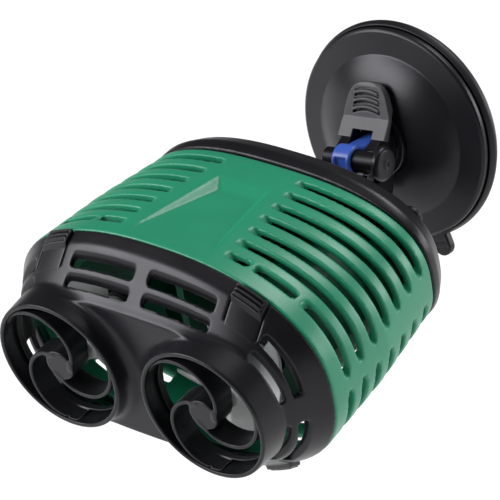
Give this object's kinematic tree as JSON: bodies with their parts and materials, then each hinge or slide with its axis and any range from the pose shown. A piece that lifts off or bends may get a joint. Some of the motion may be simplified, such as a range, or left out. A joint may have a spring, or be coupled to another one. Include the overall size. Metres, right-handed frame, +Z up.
{
  "type": "wave maker pump",
  "caption": "Oval twin-outlet aquarium circulation pump in a slotted green cage, with spiral outlet guards, on a tilting arm and a lever-locked vacuum suction cup.",
  "frame": {"origin": "centre of the suction cup's flat face, where it meets the glass", "axes": "+Y points into the glass, +Z up, +X to the right as the outlets are seen; the pump hangs on the -Y side"},
  "size_m": [0.1094, 0.138, 0.0958],
  "materials": {
    "black_plastic": "satin moulded ABS with a fine spark texture",
    "rubber": "soft matt rubber",
    "green_plastic": "satin moulded ABS, bottle green",
    "lever_grey": "satin moulded plastic",
    "blue_plastic": "semi-gloss acetal",
    "steel": "stainless, fine brushed",
    "iron": "stamped laminations",
    "copper": "enamelled winding wire",
    "resin": "cast epoxy",
    "ceramic": "ground white ceramic",
    "ferrite": "ground ferrite",
    "white_plastic": "satin moulded acetal"
  },
  "bodies": {
    "cup": {"suction_pad": "rubber", "cup_cover": "black_plastic"},
    "stem": {"stem": "blue_plastic", "lever_pin": "steel", "lever_pin_cap": "black_plastic"},
    "lever": {"lever": "lever_grey"},
    "swivel": {"swivel_ring": "black_plastic", "tilt_screw": "steel", "tilt_nut": "steel"},
    "pump": {"front_cover": "black_plastic", "green_shell": "green_plastic", "rear_cover": "black_plastic", "rear_screw_top_left": "steel", "rear_screw_top_right": "steel", "rear_screw_bottom_left": "steel", "rear_screw_bottom_right": "steel", "motor_plate": "black_plastic", "cable_gland": "rubber", "mount_arm": "black_plastic", "arm_screw_left": "steel", "arm_screw_right": "steel", "motor_can_left": "green_plastic", "stator_core_left": "iron", "coil_upper_left": "copper", "coil_lower_left": "copper", "potting_left": "resin", "shaft_left": "ceramic", "front_bush_left": "rubber", "rear_bush_left": "rubber", "outlet_guard_left": "black_plastic", "motor_can_right": "green_plastic", "stator_core_right": "iron", "coil_upper_right": "copper", "coil_lower_right": "copper", "potting_right": "resin", "shaft_right": "ceramic", "front_bush_right": "rubber", "rear_bush_right": "rubber", "outlet_guard_right": "black_plastic"},
    "impeller_left": {"rotor_magnet_left": "ferrite", "impeller_left": "white_plastic"},
    "impeller_right": {"rotor_magnet_right": "ferrite", "impeller_right": "white_plastic"},
    "latch_top_left": {"latch_top_left": "black_plastic"},
    "latch_top_right": {"latch_top_right": "black_plastic"},
    "latch_bottom_left": {"latch_bottom_left": "black_plastic"},
    "latch_bottom_right": {"latch_bottom_right": "black_plastic"}
  },
  "joints": [
    {"name": "swivel", "type": "hinge", "parent": "cup", "child": "swivel", "pos_m": [0, 0, 0], "axis": [0, 1, 0], "range_deg": [-35, 20]},
    {"name": "tilt", "type": "hinge", "parent": "swivel", "child": "pump", "pos_m": [0, -0.025, -0.0146], "axis": [1, 0, 0], "range_deg": [-20, 45]},
    {"name": "stem_slide", "type": "slide", "parent": "cup", "child": "stem", "axis": [0, 1, 0], "range_m": [0, 0.003]},
    {"name": "lever_hinge", "type": "hinge", "parent": "stem", "child": "lever", "pos_m": [0, -0.0295, 0], "axis": [0.991, 0, 0.134], "range_deg": [0, 90]},
    {"name": "impeller_left_spin", "type": "hinge", "parent": "pump", "child": "impeller_left", "pos_m": [-0.0255, -0.133, -0.0323], "axis": [0, 0.9715, 0.2368], "continuous": true},
    {"name": "impeller_right_spin", "type": "hinge", "parent": "pump", "child": "impeller_right", "pos_m": [0.0255, -0.133, -0.0323], "axis": [0, 0.9715, 0.2368], "continuous": true},
    {"name": "latch_top_left_press", "type": "hinge", "parent": "pump", "child": "latch_top_left", "pos_m": [-0.0337, -0.126, -0.00867], "axis": [1, 0, 0], "range_deg": [-3, 0], "stiffness_Nm_per_rad": 0.7},
    {"name": "latch_top_right_press", "type": "hinge", "parent": "pump", "child": "latch_top_right", "pos_m": [0.0337, -0.126, -0.00867], "axis": [1, 0, 0], "range_deg": [-3, 0], "stiffness_Nm_per_rad": 0.7},
    {"name": "latch_bottom_left_press", "type": "hinge", "parent": "pump", "child": "latch_bottom_left", "pos_m": [-0.0337, -0.11591, -0.05006], "axis": [1, 0, 0], "range_deg": [0, 3], "stiffness_Nm_per_rad": 0.7},
    {"name": "latch_bottom_right_press", "type": "hinge", "parent": "pump", "child": "latch_bottom_right", "pos_m": [0.0337, -0.11591, -0.05006], "axis": [1, 0, 0], "range_deg": [0, 3], "stiffness_Nm_per_rad": 0.7}
  ],
  "couplings": [
    {"joint": "lever_hinge", "follows": "stem_slide", "rad_per_m": 523.6}
  ]
}
